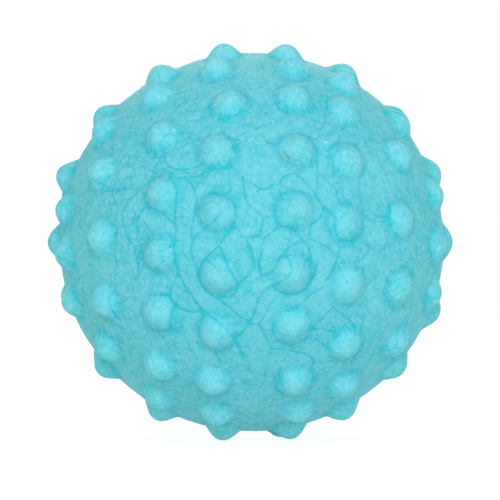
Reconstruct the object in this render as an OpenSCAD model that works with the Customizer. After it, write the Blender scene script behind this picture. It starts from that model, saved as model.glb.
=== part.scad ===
// Hollow rubber sensory ball: two nubbed half shells bonded on a lap joint,
// with a reed squeaker pressed into the back.
// The seam lies in the plane X = 0, +X is the ball's right, -Y its front, +Z up.
// The origin is the centre of the ball.

/* [Ball] */
// Outside diameter of the skin between the nubs
skin_dia = 84.6; // [80:0.2:96]
// Thickness of the rubber wall
wall = 2.5; // [2.2:0.1:3.2]

/* [Nubs] */
// Height of a nub above the skin
nub_rise = 2.7; // [2.2:0.1:3.2]
// Radius of a nub's rounded top
nub_round = 4.3; // [3.6:0.1:4.6]
// Radius of the hollow blend round a nub's foot
nub_foot = 0.9; // [0.6:0.1:1.2]
// Angle of each ring of nubs from the seam, in degrees
ring_angles = [11, 27.6, 47.3, 68.7]; // [8:0.1:75]
// Number of nubs in each left ring
left_ring_counts = [20, 18, 13, 7]; // [6:1:20]
// Number of nubs in each right ring
right_ring_counts = [20, 18, 13, 9]; // [6:1:20]
// Where each left ring starts, in degrees above the front
left_start_angles = [81, 76.5, 85.5, 86]; // [60:0.5:90]
// Where each right ring starts, in degrees above the front
right_start_angles = [81, 87, 65, 78]; // [60:0.5:90]

/* [Seam] */
// Width of the lap between the half shells
lap_w = 3; // [2:0.1:4]
// Thickness of the left shell's tongue
tongue_t = 1.1; // [0.9:0.05:1.2]
// Bevel on the tongue's leading edge
tongue_bevel = 0.4; // [0.2:0.05:0.6]
// Thickness of the cement between tongue and rebate
cement_t = 0.25; // [0.15:0.05:0.35]

/* [Squeaker seat] */
// Depth of the recess that holds the squeaker's flange
recess_depth = 1.7; // [1.4:0.1:2]
// Outside diameter of the collar moulded inside the wall
collar_dia = 14; // [13.4:0.2:16]
// How far the collar stands into the hollow of the ball
collar_rise = 2; // [1.4:0.1:3]
// Radial clearance of the squeaker in the rubber
seat_clear = 0.05; // [0.02:0.01:0.08]

/* [Squeaker casing] */
// Diameter of the flange
flange_dia = 13; // [12.4:0.1:13.4]
// Thickness of the flange
flange_t = 1.2; // [1:0.1:1.4]
// Bevel round the flange's outer edge
flange_bevel = 0.4; // [0.2:0.05:0.6]
// Diameter of the neck and barrel
neck_dia = 9.6; // [9.2:0.1:10]
// Thickness of the barrel's wall
barrel_wall = 1.2; // [1:0.05:1.4]
// How far the holding barb stands out from the neck
barb_rise = 0.7; // [0.4:0.1:1]
// Length of the barb
barb_len = 1.4; // [1:0.1:2]
// Diameter of the sound hole
sound_dia = 2.4; // [2:0.1:3]
// Widening of the sound hole at the outer face
sound_bevel = 0.4; // [0.2:0.05:0.5]
// Diameter of the chamber under the sound hole
chamber_dia = 5.4; // [5:0.1:6]
// Depth of the chamber under the sound hole
chamber_len = 0.8; // [0.6:0.1:1]
// Air gap between the reed block and the cap's plug
air_gap = 0.8; // [0.5:0.1:1]

/* [Squeaker voice] */
// Length of the sleeve that grips the reed block
sleeve_len = 3; // [2.6:0.1:3.4]
// Diameter of the reed block
block_dia = 4.8; // [4.4:0.1:5]
// Length of the reed block
block_len = 9.2; // [8.6:0.1:10.6]
// Radius of the half-round air channel in the reed block
trough_r = 1.3; // [1:0.05:1.5]
// Solid end of the reed block beyond the air channel
trough_end = 1; // [0.8:0.1:1.4]
// Width of the reed
reed_w = 3.2; // [3.1:0.1:3.6]
// Thickness of the reed
reed_t = 0.25; // [0.2:0.01:0.3]
// How far the reed's tip stops short of the block's end
reed_short = 0.4; // [0.3:0.1:0.6]
// Depth of the slot that holds the reed's foot
slot_depth = 1.2; // [1:0.1:1.3]
// Clearance above and below the reed
reed_clear = 0.12; // [0.1:0.01:0.15]
// Angle at which the reed stands open at rest
reed_open = 3; // [2:0.5:3.5]
// Clearance between the squeaker's pressed pieces
press_clear = 0.03; // [0.02:0.01:0.05]

/* [Squeaker cap] */
// Thickness of the cap's disc
cap_t = 1; // [0.8:0.1:1.4]
// Length of the ring that plugs into the barrel
plug_len = 1.2; // [0.8:0.1:1.4]
// Thickness of the plug's ring
plug_wall = 0.9; // [0.7:0.05:1.1]
// Number of air holes
air_count = 5; // [4:1:6]
// Diameter of an air hole
air_dia = 1.3; // [1:0.1:1.5]
// Diameter of the circle of air holes
air_circle_dia = 4; // [3.8:0.1:4.4]

/* [Hidden] */
$fn = 96;

// Sides of the ball along X
LEFT = -1;
RIGHT = 1;

// How far the nubs of a ring stand off their even places, as moulded:
// [degrees towards the pole, degrees up round the ring], repeated round the back
left_drifts = [
    [[-3, -2], [-0.5, 0], [-4, 0.5], [-0.5, 1], [0, 0],
     [-0.5, -1], [0, -1.5], [0.5, -1], [-0.5, 0.5], [-3, 2]],
    [[0, -2.5], [1.5, 2], [0.5, 1.5], [0.5, -0.5], [1, -0.5],
     [1, -1], [0.5, -2], [1, -1], [0.5, 2]],
    [[2, -2], [2.5, 5], [4, 4.5], [4, -0.5], [2, -3], [0, 0], [1.5, 3]],
    [[1.5, 0], [5, 1.5], [5, 4], [-1, 13.5], [0, -8.5], [0, 0], [0, 0]]
];
right_drifts = [
    [[-1.5, -2], [0.5, 0.5], [1, 3], [1, 1], [0.5, 0.5],
     [0, -0.5], [0, 1.5], [1, -1.5], [2.5, -1], [0, 2]],
    [[1.5, 0.5], [0.5, -2], [0, 2.5], [1, 1.5], [-0.5, -1],
     [0.5, -1], [0.5, -3.5], [0.5, -4], [0.5, -4]],
    [[2, 5.5], [1.5, 5], [1.5, 0], [0.5, -2.5], [0.5, -4.5], [0.5, 3]],
    [[0, 0], [0.5, 5], [2, -3], [-1, -3.5]]
];

// Ball and seam
skin_r = skin_dia / 2;
cavity_r = skin_r - wall;
overrun = wall / 2;
block_side = 2 * (skin_r + nub_rise + overrun);
tongue_r = cavity_r + tongue_t;

// Nub outline, with height measured from the centre of the ball.
// The foot blend sinks a little into the skin and into the round top, so that it
// meets both at a clear angle.
foot_sink_share = 0.1;
nub_centre_h = skin_r + nub_rise - nub_round;
foot_reach = nub_round + nub_foot * (1 - foot_sink_share);
foot_dist = skin_r + nub_foot * (1 - foot_sink_share);
foot_h = (foot_dist * foot_dist - foot_reach * foot_reach + nub_centre_h * nub_centre_h)
    / (2 * nub_centre_h);
foot_x = sqrt(foot_dist * foot_dist - foot_h * foot_h);

// Squeaker: it takes the place of the right half's second-ring nub nearest the back.
// Heights below are measured from its seat, positive towards the outside.
squeaker_ring = 1;
squeaker_step = round((right_start_angles[squeaker_ring] + 180) / (360 / right_ring_counts[squeaker_ring]));
squeaker_place = nub_place(right_ring_counts, right_start_angles, right_drifts, squeaker_ring, squeaker_step);
seat_h = skin_r - recess_depth;
grip_len = wall + collar_rise - recess_depth;
neck_r = neck_dia / 2;
bore_r = neck_r - barrel_wall;
sleeve_top = -chamber_len;
sleeve_end = sleeve_top - sleeve_len;
block_end = sleeve_top - block_len;
barrel_len = chamber_len + block_len + air_gap + plug_len;
block_r = block_dia / 2;
slot_h = reed_t + 2 * reed_clear;
reed_axis_v = reed_clear + reed_t / 2;
reed_len = block_len - sleeve_len - reed_short;
reed_tip_r = reed_w / 2;
reed_foot = slot_depth - reed_clear;
plug_r = bore_r - press_clear;

// Place of one nub: [degrees from the seam, degrees above the front]
function nub_place(counts, starts, drifts, ring, step) =
    let (drift = drifts[ring][step % len(drifts[ring])])
    [ring_angles[ring] + drift[0], starts[ring] - step * 360 / counts[ring] + drift[1]];

// Places of all nubs of one half, the pole's nub last
function nub_places(counts, starts, drifts) = concat(
    [for (ring = [0 : len(ring_angles) - 1])
        for (step = [0 : counts[ring] - 1])
            nub_place(counts, starts, drifts, ring, step)],
    [[90, 0]]
);

// Moves a piece drawn along +Z to its place on the ball, where +Z points outwards
module at_place(side, place) {
    rotate([-place[1], 0, 0])
        rotate([0, 0, side * place[0]])
            rotate([90, 0, 0])
                children();
}

module at_squeaker() {
    at_place(RIGHT, squeaker_place)
        translate([0, 0, seat_h])
            children();
}

// One nub: a round top with a hollow blend down to the skin
module nub() {
    rotate_extrude()
        union() {
            intersection() {
                translate([0, nub_centre_h])
                    circle(r = nub_round);
                translate([0, nub_centre_h - nub_round])
                    square([nub_round, 2 * nub_round]);
            }
            difference() {
                polygon([
                    [0, cavity_r],
                    [foot_x, cavity_r],
                    [foot_x, foot_h],
                    [0, nub_centre_h]
                ]);
                translate([foot_x, foot_h])
                    circle(r = nub_foot);
            }
        }
}

// Solid ball with the nubs of one half, cut at the seam
module nubbed_half(side, places) {
    difference() {
        union() {
            rotate([0, 90, 0])
                sphere(r = skin_r);
            for (place = places)
                at_place(side, place)
                    nub();
        }
        translate([-side * block_side / 2, 0, 0])
            cube(block_side, center = true);
    }
}

module cavity() {
    rotate([0, 90, 0])
        sphere(r = cavity_r);
}

// Ring of the lap joint: the tongue itself, or its rebate when grown by the cement
module lap_ring(grow) {
    rotate([0, 90, 0])
        rotate_extrude()
            polygon([
                [cavity_r - overrun, 0],
                [tongue_r + grow, 0],
                [tongue_r + grow, lap_w + grow - tongue_bevel],
                [tongue_r + grow - tongue_bevel, lap_w + grow],
                [cavity_r - overrun, lap_w + grow]
            ]);
}

module left_half_shell() {
    color("#66CBD6")
        difference() {
            union() {
                nubbed_half(LEFT, nub_places(left_ring_counts, left_start_angles, left_drifts));
                lap_ring(0);
            }
            cavity();
        }
}

module right_half_shell() {
    places = nub_places(right_ring_counts, right_start_angles, right_drifts);
    color("#66CBD6")
        difference() {
            union() {
                difference() {
                    nubbed_half(RIGHT, [for (place = places) if (place != squeaker_place) place]);
                    cavity();
                }
                at_squeaker()
                    translate([0, 0, -grip_len])
                        cylinder(h = grip_len, d = collar_dia);
            }
            lap_ring(cement_t);
            at_squeaker()
                cylinder(h = recess_depth + overrun, d = flange_dia + 2 * seat_clear);
            at_squeaker()
                translate([0, 0, -grip_len - overrun])
                    cylinder(h = grip_len + recess_depth, r = neck_r + seat_clear);
        }
}

module seam_cement() {
    color("#B9A98C")
        difference() {
            lap_ring(cement_t);
            lap_ring(0);
            cavity();
        }
}

module squeaker_housing() {
    color("#F1EEE6")
        at_squeaker()
            rotate_extrude()
                polygon([
                    [sound_dia / 2, 0],
                    [sound_dia / 2, flange_t - sound_bevel],
                    [sound_dia / 2 + sound_bevel, flange_t],
                    [flange_dia / 2 - flange_bevel, flange_t],
                    [flange_dia / 2, flange_t - flange_bevel],
                    [flange_dia / 2, 0],
                    [neck_r, 0],
                    [neck_r, -grip_len],
                    [neck_r + barb_rise, -grip_len],
                    [neck_r, -grip_len - barb_len],
                    [neck_r, -barrel_len],
                    [bore_r, -barrel_len],
                    [bore_r, sleeve_top],
                    [chamber_dia / 2, sleeve_top],
                    [chamber_dia / 2, 0]
                ]);
}

// Sleeve with a flat key that closes on the reed block and leaves a slot for the reed
module squeaker_tone_sleeve() {
    color("#D9DDE0")
        at_squeaker()
            translate([0, 0, sleeve_end])
                difference() {
                    cylinder(h = sleeve_len, r = bore_r - press_clear);
                    intersection() {
                        translate([0, 0, -overrun])
                            cylinder(h = sleeve_len + 2 * overrun, r = block_r + press_clear);
                        union() {
                            translate([-block_dia, -block_dia, -overrun])
                                cube([2 * block_dia, block_dia + press_clear, sleeve_len + 2 * overrun]);
                            translate([-block_dia, -block_dia, -overrun])
                                cube([2 * block_dia, block_dia + slot_h, slot_depth + overrun]);
                        }
                    }
                }
}

// Half-round rod with an air channel that the reed lies over
module squeaker_reed_block() {
    color("#F1EEE6")
        at_squeaker()
            difference() {
                translate([0, 0, block_end])
                    cylinder(h = block_len, r = block_r);
                translate([-block_dia, 0, block_end - overrun])
                    cube([2 * block_dia, block_dia, block_len + 2 * overrun]);
                translate([0, 0, block_end + trough_end + trough_r])
                    cylinder(h = block_len, r = trough_r);
                translate([0, 0, block_end + trough_end + trough_r])
                    sphere(r = trough_r);
            }
}

// Thin tongue with a round tip, hinged where it leaves its slot
module squeaker_reed() {
    color("#E8C65A")
        at_squeaker()
            translate([0, reed_axis_v, sleeve_end])
                rotate([reed_open, 0, 0])
                    rotate([90, 0, 0])
                        translate([0, 0, -reed_t / 2])
                            linear_extrude(reed_t)
                                union() {
                                    translate([-reed_w / 2, reed_tip_r - reed_len])
                                        square([reed_w, reed_len - reed_tip_r + reed_foot]);
                                    translate([0, reed_tip_r - reed_len])
                                        circle(r = reed_tip_r);
                                }
}

// Perforated cap that closes the barrel and keeps the reed from being touched
module squeaker_inner_cap() {
    color("#D9DDE0")
        at_squeaker()
            translate([0, 0, -barrel_len])
                difference() {
                    union() {
                        translate([0, 0, -cap_t])
                            cylinder(h = cap_t, r = neck_r);
                        cylinder(h = plug_len, r = plug_r);
                    }
                    cylinder(h = plug_len + overrun, r = plug_r - plug_wall);
                    for (hole = [0 : air_count - 1])
                        rotate([0, 0, hole * 360 / air_count])
                            translate([air_circle_dia / 2, 0, -cap_t - overrun])
                                cylinder(h = cap_t + 2 * overrun, d = air_dia);
                }
}

left_half_shell();
right_half_shell();
seam_cement();
squeaker_housing();
squeaker_tone_sleeve();
squeaker_reed_block();
squeaker_reed();
squeaker_inner_cap();
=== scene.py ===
"""Looks of a moulded rubber sensory ball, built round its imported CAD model.

The two rubber halves get a fine skin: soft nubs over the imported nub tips, fold lines, pebbling and pinholes.
The squeaker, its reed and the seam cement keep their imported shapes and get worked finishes.
"""

import math
import random

import bmesh
import bpy
import numpy as np
from mathutils import Matrix, Vector
from mathutils.bvhtree import BVHTree


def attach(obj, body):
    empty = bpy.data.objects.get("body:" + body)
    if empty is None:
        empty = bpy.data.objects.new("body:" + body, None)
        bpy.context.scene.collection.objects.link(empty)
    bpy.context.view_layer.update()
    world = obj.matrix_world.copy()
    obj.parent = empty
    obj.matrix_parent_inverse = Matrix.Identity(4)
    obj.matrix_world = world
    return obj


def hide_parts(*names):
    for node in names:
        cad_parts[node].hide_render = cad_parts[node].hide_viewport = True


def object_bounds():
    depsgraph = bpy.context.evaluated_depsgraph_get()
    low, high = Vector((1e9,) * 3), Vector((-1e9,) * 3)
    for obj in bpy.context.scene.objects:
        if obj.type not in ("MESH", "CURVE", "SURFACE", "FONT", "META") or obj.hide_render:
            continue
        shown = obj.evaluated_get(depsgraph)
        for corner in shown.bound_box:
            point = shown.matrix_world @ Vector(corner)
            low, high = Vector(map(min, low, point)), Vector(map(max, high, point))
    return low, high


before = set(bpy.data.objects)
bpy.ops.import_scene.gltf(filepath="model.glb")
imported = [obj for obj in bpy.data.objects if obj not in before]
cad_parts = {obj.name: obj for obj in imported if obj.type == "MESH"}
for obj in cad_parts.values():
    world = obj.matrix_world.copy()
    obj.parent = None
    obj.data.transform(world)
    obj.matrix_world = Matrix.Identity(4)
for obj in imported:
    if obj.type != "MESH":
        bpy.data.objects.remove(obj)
CAD_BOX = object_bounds()

bl_info = {
    "name": "Sensory Ball",
    "version": (1, 0, 0),
    "blender": (4, 5, 0),
    "location": "3D View > Sidebar > Sensory Ball",
    "description": "Makes the nubbed rubber halves, the squeaker's finishes and the studio of a sensory ball",
    "category": "Add Mesh",
}

MM = 0.001
HALF_NODES = {"left_skin": "left_half_shell", "right_skin": "right_half_shell"}
WHOLE_TURN = 2 * math.pi
QUARTER_TURN = math.pi / 2


# Fold lines read off the photograph, as pixels of its 500 x 500 frame, with how strongly each one shows

FOLDS = {
    "ribbon_right_edge": (1.0, [
        (182, 177), (191, 184), (195, 196), (195, 207), (193, 219), (191, 229), (191, 242), (191, 255),
        (195, 265), (198, 275), (202, 287), (209, 294), (219, 301), (230, 309), (239, 317), (248, 321)]),
    "ribbon_left_edge": (1.0, [
        (168, 177), (174, 183), (176, 193), (175, 206), (174, 221), (174, 233), (173, 246), (174, 258),
        (177, 270), (181, 281), (188, 292), (194, 301), (200, 309), (211, 317), (219, 324), (227, 332),
        (234, 340), (239, 349), (244, 357), (248, 364), (250, 371), (252, 376)]),
    "ribbon_left_foot": (0.5, [(237, 348), (241, 358), (245, 367), (248, 375)]),
    "outer_loop_left": (0.8, [
        (161, 176), (151, 179), (144, 184), (139, 190), (131, 197), (125, 205), (121, 214), (123, 225),
        (126, 237), (133, 247), (135, 258), (138, 271)]),
    "inner_loop_left": (0.8, [
        (148, 202), (142, 209), (137, 218), (136, 227), (140, 239), (140, 252), (144, 261), (149, 267),
        (154, 272), (152, 279), (151, 285)]),
    "loop_bridge_left": (1.0, [(149, 207), (157, 211), (165, 216), (170, 221), (174, 225)]),
    "curl_outer": (1.0, [
        (209, 193), (218, 194), (227, 197), (234, 204), (236, 213), (235, 221), (230, 230), (223, 238),
        (219, 245), (212, 252), (205, 258), (200, 265), (198, 272)]),
    "curl_inner": (0.9, [
        (198, 210), (204, 204), (213, 201), (219, 205), (220, 213), (216, 219), (209, 225), (202, 230),
        (195, 237), (192, 242)]),
    "curl_tail": (0.5, [(205, 232), (213, 232), (221, 232)]),
    "low_drop": (1.0, [
        (219, 245), (222, 253), (226, 262), (230, 270), (234, 278), (238, 285), (235, 293), (230, 298),
        (225, 298), (219, 297)]),
    "low_bowl": (0.8, [(207, 260), (212, 265), (218, 270), (225, 271), (230, 271)]),
    "middle_arc": (0.9, [
        (235, 227), (240, 233), (245, 239), (250, 248), (253, 258), (253, 269), (248, 276), (238, 285)]),
    "middle_link": (0.7, [(244, 238), (251, 237), (260, 236)]),
    "upper_bowl": (1.0, [(163, 155), (165, 162), (171, 167), (182, 169), (194, 167), (202, 162)]),
    "upper_bowl_tail": (0.6, [(152, 174), (161, 169), (166, 167)]),
    "upper_shelf": (0.9, [(170, 177), (182, 177), (195, 176), (204, 172), (213, 167), (218, 162)]),
    "step_down": (0.9, [
        (177, 272), (172, 285), (169, 297), (174, 305), (182, 311), (193, 313), (200, 312)]),
    "step_side": (0.9, [(149, 295), (160, 295), (169, 297)]),
    "step_foot": (0.8, [(174, 305), (170, 315), (169, 326), (172, 335)]),
    "step_hem": (0.7, [(148, 321), (154, 329), (162, 331), (170, 329)]),
    "low_short": (0.8, [(200, 312), (203, 320), (200, 331)]),
    "low_right_rise": (1.0, [(234, 340), (241, 334), (248, 325), (254, 315), (258, 301)]),
    "low_left_fall": (0.8, [(234, 340), (229, 345), (222, 349), (215, 349)]),
    "low_left_strike": (1.0, [(207, 347), (214, 352), (218, 359), (220, 366)]),
    "low_left_streak": (0.5, [(179, 323), (184, 333), (188, 348), (194, 357), (201, 366)]),
    "low_left_nub_side": (0.6, [(200, 319), (198, 327), (199, 336), (202, 342)]),
    "low_left_bar": (0.4, [(171, 365), (180, 366), (189, 367)]),
    "side_pleat": (0.7, [(115, 227), (115, 239), (114, 252), (115, 265), (114, 278), (115, 285)]),
    "side_top": (0.6, [(105, 191), (116, 190), (126, 189), (137, 190)]),
    "side_base": (0.6, [(116, 285), (124, 281), (133, 280), (139, 275)]),
    "side_hook": (0.7, [(107, 299), (109, 308), (114, 315), (119, 320)]),
    "ribbon_nick": (0.8, [(188, 293), (184, 292), (182, 295), (182, 299)]),
    "loop_nick": (0.6, [(143, 221), (147, 227), (152, 234)]),
    "loop_eye": (0.5, [(147, 227), (145, 231), (145, 236)]),
    "nub_cleft": (0.6, [(154, 272), (158, 266), (163, 260)]),
    "upper_left_pair": (0.5, [(162, 150), (159, 158), (155, 166), (152, 173)]),
    "side_spur": (0.5, [(130, 177), (131, 183), (136, 188)]),
    "shelf_double": (0.4, [(200, 178), (206, 177), (211, 177)]),
    "middle_rise": (0.5, [(233, 309), (237, 302), (242, 297), (250, 291)]),
    "centre_fall": (0.9, [
        (242, 176), (244, 188), (246, 200), (254, 209), (262, 216), (262, 225), (259, 236)]),
    "centre_bar": (0.6, [(262, 216), (269, 217), (276, 216)]),
    "centre_arch": (0.9, [
        (240, 238), (248, 237), (255, 236), (259, 236), (263, 239), (271, 233), (280, 227), (287, 227),
        (295, 232), (301, 238), (308, 247), (311, 257), (311, 267)]),
    "centre_stem": (0.9, [
        (263, 239), (262, 250), (260, 258), (259, 266), (262, 275), (269, 274), (275, 267)]),
    "hook_left": (1.0, [(255, 184), (259, 188), (267, 188), (273, 184), (278, 184)]),
    "hook_fall": (0.9, [(280, 184), (280, 190), (283, 199)]),
    "hook_right": (1.0, [
        (280, 183), (283, 177), (289, 174), (295, 174), (303, 179), (311, 188), (318, 197), (324, 206),
        (334, 214), (336, 221)]),
    "right_long": (0.9, [
        (324, 206), (322, 215), (317, 221), (311, 225), (310, 233), (311, 239), (319, 243), (328, 247),
        (336, 255), (338, 258), (334, 269), (329, 278), (322, 288), (311, 295), (303, 304), (294, 311),
        (286, 313)]),
    "nub_brow": (0.6, [(285, 193), (291, 190), (301, 191), (311, 196), (319, 201)]),
    "nub_cheek": (0.9, [(277, 204), (275, 211), (276, 220), (282, 227)]),
    "nub_dimple": (0.5, [(289, 199), (294, 199), (297, 202)]),
    "right_fall": (0.8, [
        (317, 150), (317, 158), (318, 167), (318, 174), (318, 183), (317, 192), (319, 199)]),
    "right_slant": (0.6, [(323, 174), (329, 182), (336, 191), (338, 199), (342, 205)]),
    "swirl_outer": (0.8, [(309, 242), (299, 243), (289, 248), (282, 255), (278, 261)]),
    "swirl_brow": (0.6, [(282, 256), (291, 255), (299, 256)]),
    "swirl_inner": (0.9, [
        (287, 257), (291, 264), (292, 271), (287, 278), (280, 283), (272, 287), (263, 292), (257, 300)]),
    "swirl_hem": (0.9, [
        (274, 288), (282, 293), (292, 295), (303, 292), (310, 284), (315, 275), (317, 265)]),
    "lower_left_slant": (0.9, [(273, 302), (267, 312), (262, 321), (259, 325), (266, 332)]),
    "lower_middle_slant": (0.8, [(240, 335), (249, 324), (254, 313), (259, 301), (266, 290), (273, 285)]),
    "lower_cross": (0.7, [(240, 317), (249, 324), (259, 325)]),
    "far_right_arc": (0.7, [(336, 221), (337, 232), (341, 238), (351, 241), (357, 238)]),
    "far_right_bowl": (0.7, [
        (355, 234), (362, 241), (369, 248), (366, 255), (360, 260), (354, 261)]),
    "far_right_stem": (0.6, [(340, 239), (340, 250), (341, 257), (346, 264)]),
    "far_right_bar": (0.6, [(369, 248), (377, 250), (384, 248), (386, 244)]),
    "far_right_fall": (0.6, [(385, 247), (385, 258), (384, 270), (387, 280), (392, 288)]),
    "rim_bowl": (0.8, [
        (360, 195), (362, 207), (365, 216), (373, 221), (383, 222), (389, 219), (388, 206)]),
    "rim_bowl_inner": (0.6, [(366, 210), (373, 215), (379, 217), (387, 216)]),
    "rim_tail": (0.6, [(389, 219), (392, 228), (398, 238), (405, 238)]),
    "rim_rise": (0.6, [(364, 167), (362, 176), (359, 184), (360, 195)]),
    "rim_low": (0.5, [(384, 272), (375, 279), (365, 285)]),
    "lower_right_bend": (0.8, [
        (334, 307), (327, 315), (317, 325), (313, 329), (324, 331), (334, 332), (336, 339)]),
    "lower_right_arc": (0.7, [(334, 308), (342, 315), (350, 321), (355, 329), (357, 339)]),
    "lower_bowl": (0.7, [
        (274, 325), (273, 335), (280, 343), (289, 345), (297, 344), (306, 339)]),
    "lower_bowl_tail": (0.7, [(306, 339), (315, 340), (323, 345), (328, 350)]),
    "lower_bowl_outer": (0.5, [(267, 335), (270, 342), (278, 347), (290, 349), (301, 347)]),
    "lower_crown_arc": (0.4, [(283, 334), (290, 337), (299, 337), (306, 332)]),
    "lower_crown_inner": (0.35, [(283, 330), (291, 333), (299, 332), (305, 327)]),
    "low_centre_fall": (0.8, [
        (261, 329), (265, 338), (269, 347), (270, 356), (268, 365), (265, 373), (266, 377), (262, 387)]),
    "low_pocket": (0.5, [(240, 349), (245, 347), (248, 349), (249, 354), (247, 359)]),
    "low_pocket_right": (0.4, [(261, 351), (266, 354), (268, 359)]),
    "upper_right_long": (0.7, [
        (308, 136), (318, 140), (325, 148), (331, 156), (334, 168), (334, 180), (338, 193), (341, 203),
        (348, 207)]),
    "upper_dip": (0.9, [(264, 136), (267, 141), (274, 143), (279, 142)]),
    "upper_tick": (0.8, [(256, 128), (260, 126), (266, 124), (271, 122)]),
    "upper_left_slant": (0.7, [(172, 149), (181, 146), (190, 141), (199, 138)]),
    "upper_left_bar": (0.6, [(178, 134), (184, 131), (191, 132), (195, 134)]),
    "upper_nub_side": (0.8, [(227, 136), (232, 142), (234, 148)]),
    "upper_nub_tick": (0.5, [(234, 138), (239, 139), (246, 138)]),
    "upper_nub_link": (0.5, [(234, 146), (240, 142), (247, 138)]),
    "upper_nub_chin": (0.6, [(211, 169), (221, 168), (232, 164)]),
    "centre_left_fall": (0.4, [(228, 168), (229, 180), (231, 192)]),
    "upper_right_cheek": (0.6, [(328, 152), (333, 146), (339, 142)]),
    "upper_right_fall": (0.6, [(325, 80), (327, 92), (327, 103), (326, 113), (325, 122), (320, 131)]),
    "high_nub_left": (0.7, [(278, 93), (276, 101), (280, 108), (286, 112)]),
    "high_nub_right": (0.5, [(247, 94), (247, 103), (244, 111)]),
    "high_nub_chin": (0.5, [(219, 113), (225, 116), (232, 117), (242, 111)]),
    "top_nub_chin": (0.6, [(201, 78), (211, 80), (221, 79), (233, 73)]),
    "top_right_nub_chin": (0.6, [(282, 74), (291, 78), (303, 77)]),
    "nub_chin": (0.9, [
        (275, 217), (276, 224), (279, 228), (285, 226), (293, 229), (298, 233), (303, 240)]),
    "lower_nub_hook": (0.8, [(313, 331), (320, 330), (326, 331), (331, 332), (335, 335)]),
    "lower_nub_side": (1.0, [(332, 324), (335, 330), (336, 335), (336, 340)]),
    "lower_nub_arch": (1.0, [
        (270, 349), (277, 350), (286, 351), (296, 353), (306, 355), (312, 359), (314, 364), (313, 367)]),
    "low_arch_second": (0.4, [(272, 355), (281, 356), (290, 359), (299, 363)]),
    "low_arch_third": (0.6, [(270, 358), (275, 362), (280, 368)]),
    "low_nub_left": (0.6, [(281, 369), (279, 375), (280, 382), (283, 389)]),
    "lower_nub_dash": (0.8, [(286, 314), (290, 310), (297, 306)]),
}

# Marks in the rubber and painted glints, as pixels of the same frame, and the one nub that stands taller than
# the others

PINHOLES = [
    (169, 247), (99, 183), (258, 191), (216, 242), (195, 304), (173, 345), (197, 343), (254, 294), (385, 231),
    (348, 283), (421, 262), (413, 221), (309, 203), (433, 225), (408, 295), (151, 119), (212, 84),
    (380, 143), (338, 360), (394, 374), (276, 418),
]
# Painted glints: small pale dots in place of tiny highlights
PAINTED_GLINTS = [
    (213, 132), (213, 134), (326, 142), (328, 142), (305, 105), (121, 145), (348, 302), (69, 287), (116, 143),
    (236, 381), (352, 118), (174, 129), (178, 370),
]
RUST_SPOTS = [(284, 389), (288, 393), (344, 388), (263, 155)]
SCUFF_SPOTS = [(286, 156), (299, 163)]
TALL_NUB_SPOT = (61, 174)

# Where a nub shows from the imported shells, and how many pixels further on the photograph has it

NUB_DRIFTS = {
    (294, 61): (2, -3), (215, 61): (-1, -3), (349, 78): (-1, -3), (297, 91): (0, -2), (152, 88): (-2, -1),
    (298, 146): (2, -2), (101, 353): (-3, 1), (156, 372): (-3, 3), (212, 388): (-3, 3), (154, 405): (-1, 3),
    (215, 422): (-1, 3), (297, 389): (1, 2), (295, 330): (1, 2), (353, 286): (2, 2), (154, 318): (-2, 1),
    (154, 255): (-1, 0), (216, 145): (-2, -1), (350, 222): (2, -1), (407, 291): (2, 0), (91, 238): (-1, -1),
    (285, 45): (3, 0), (223, 44): (-1, 0), (223, 440): (-2, 0), (290, 438): (2, 0), (445, 248): (0, -3),
}


class SkinSettings(bpy.types.PropertyGroup):
    """Sizes and colours of the rubber skin."""

    radius: bpy.props.FloatProperty(
        name="Skin radius", description="From the ball's centre to the skin between the nubs",
        default=42.3 * MM, unit="LENGTH", subtype="DISTANCE")
    cavity_radius: bpy.props.FloatProperty(
        name="Hollow radius", description="From the ball's centre to the inside of the wall",
        default=39.8 * MM, unit="LENGTH", subtype="DISTANCE")
    nub_width: bpy.props.FloatProperty(
        name="Nub width", description="From a nub's middle to where it has run out into the skin",
        default=4.95 * MM, unit="LENGTH", subtype="DISTANCE")
    fold_depth: bpy.props.FloatProperty(
        name="Fold depth", description="Depth of the fold lines that the mould leaves",
        default=0.14 * MM, unit="LENGTH", subtype="DISTANCE")
    fold_width: bpy.props.FloatProperty(
        name="Fold width", description="From the middle of a fold line to its edge",
        default=0.55 * MM, unit="LENGTH", subtype="DISTANCE")
    pebble_size: bpy.props.FloatProperty(
        name="Pebble size", description="Usual width of a pebble in the skin",
        default=3.6 * MM, unit="LENGTH", subtype="DISTANCE")
    pebble_depth: bpy.props.FloatProperty(
        name="Pebble depth", description="Depth of the dips between pebbles",
        default=0.09 * MM, unit="LENGTH", subtype="DISTANCE")
    seed: bpy.props.IntProperty(
        name="Seed", description="Fixes the uneven heights of the nubs and the marks on the hidden side",
        default=7)
    chalky_colour: bpy.props.FloatVectorProperty(
        name="Chalky colour", description="Rubber on worn, raised places", subtype="COLOR", size=4,
        min=0, max=1, default=(0.246, 0.742, 0.860, 1))
    deep_colour: bpy.props.FloatVectorProperty(
        name="Deep colour", description="Rubber in folds and dips", subtype="COLOR", size=4,
        min=0, max=1, default=(0.024, 0.558, 0.688, 1))


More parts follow.
